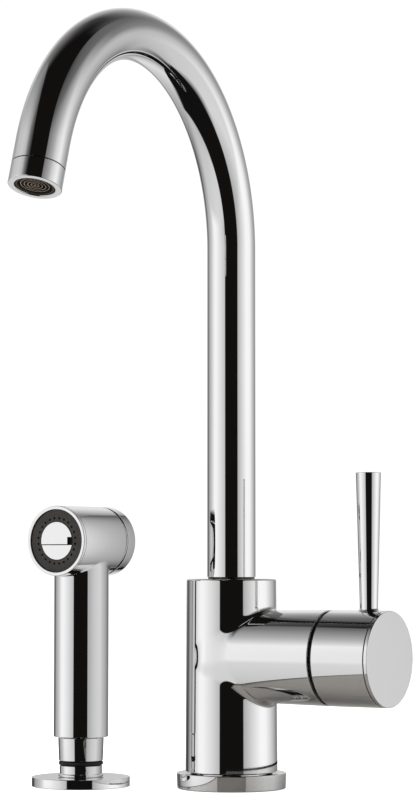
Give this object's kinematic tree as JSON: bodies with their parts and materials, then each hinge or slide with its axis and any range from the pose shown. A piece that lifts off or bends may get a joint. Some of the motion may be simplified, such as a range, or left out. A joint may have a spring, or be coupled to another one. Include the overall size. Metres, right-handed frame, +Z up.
{
  "type": "kitchen mixer tap with hand spray",
  "caption": "Single-lever kitchen mixer with a tall swivelling gooseneck spout and a side valve handle, with a separate pull-out hand spray in its deck holder.",
  "frame": {"origin": "centre of the mixer body's underside, on the counter top", "axes": "+Z up, -Y the front, towards the sink and the user; +X along the valve arm to the handle; the hand spray stands on the -X side"},
  "size_m": [0.2007, 0.2436, 0.4063],
  "materials": {
    "body_chrome": "polished",
    "spout_chrome": "polished",
    "handle_chrome": "polished",
    "spray_chrome": "polished",
    "face_chrome": "satin",
    "brass": "machined",
    "steel": "machined",
    "rubber": "matt",
    "dark_plastic": "matt",
    "white_plastic": "matt"
  },
  "bodies": {
    "base": {"base_flange": "body_chrome", "base_gasket": "rubber", "mixer_body": "body_chrome", "spout_set_screw": "steel", "cartridge_gasket": "rubber", "cartridge_housing": "white_plastic", "cartridge_nut": "brass", "arm_dome": "body_chrome", "holder_flange": "spray_chrome", "holder_gasket": "rubber", "holder_collar": "spray_chrome", "holder_bush": "rubber"},
    "spout": {"spout_tube": "spout_chrome", "spout_ferrule": "brass", "spout_seal_lower": "rubber", "spout_seal_upper": "rubber", "spout_slip_ring": "dark_plastic", "outlet_insert": "brass", "outlet_collar": "spout_chrome", "aerator_washer": "rubber", "aerator": "dark_plastic"},
    "cartridge": {"cartridge_rotor": "white_plastic", "pivot_pin": "steel"},
    "handle": {"spindle": "steel", "handle_barrel": "handle_chrome", "handle_cap": "face_chrome", "lever_rod": "handle_chrome", "handle_grub_screw": "steel", "grub_screw_cover": "white_plastic"},
    "spray": {"spray_body": "spray_chrome", "spray_rim": "spray_chrome", "nozzle_plate": "dark_plastic", "centre_disc": "face_chrome", "valve_seat": "white_plastic", "button_spring": "steel", "hose_nut": "spray_chrome", "hose_gland": "rubber"},
    "button": {"spray_button": "spray_chrome", "button_plunger": "steel", "valve_disc": "rubber"}
  },
  "joints": [
    {"name": "spout_swivel", "type": "hinge", "parent": "base", "child": "spout", "pos_m": [0, 0, 0.1], "axis": [0, 0, 1], "continuous": true},
    {"name": "temperature_turn", "type": "hinge", "parent": "base", "child": "cartridge", "pos_m": [0.0463, 0, 0.0712], "axis": [1, 0, 0], "range_deg": [-50, 50]},
    {"name": "flow_tilt", "type": "hinge", "parent": "cartridge", "child": "handle", "pos_m": [0.0463, 0, 0.0712], "axis": [0, 1, 0], "range_deg": [0, 20]},
    {"name": "spray_lift", "type": "slide", "parent": "base", "child": "spray", "axis": [0, 0, 1], "range_m": [0, 0.12]},
    {"name": "button_press", "type": "slide", "parent": "spray", "child": "button", "axis": [0, -1, 0], "range_m": [0, 0.0015], "stiffness_N_per_m": 1500, "springref_m": -0.003}
  ]
}
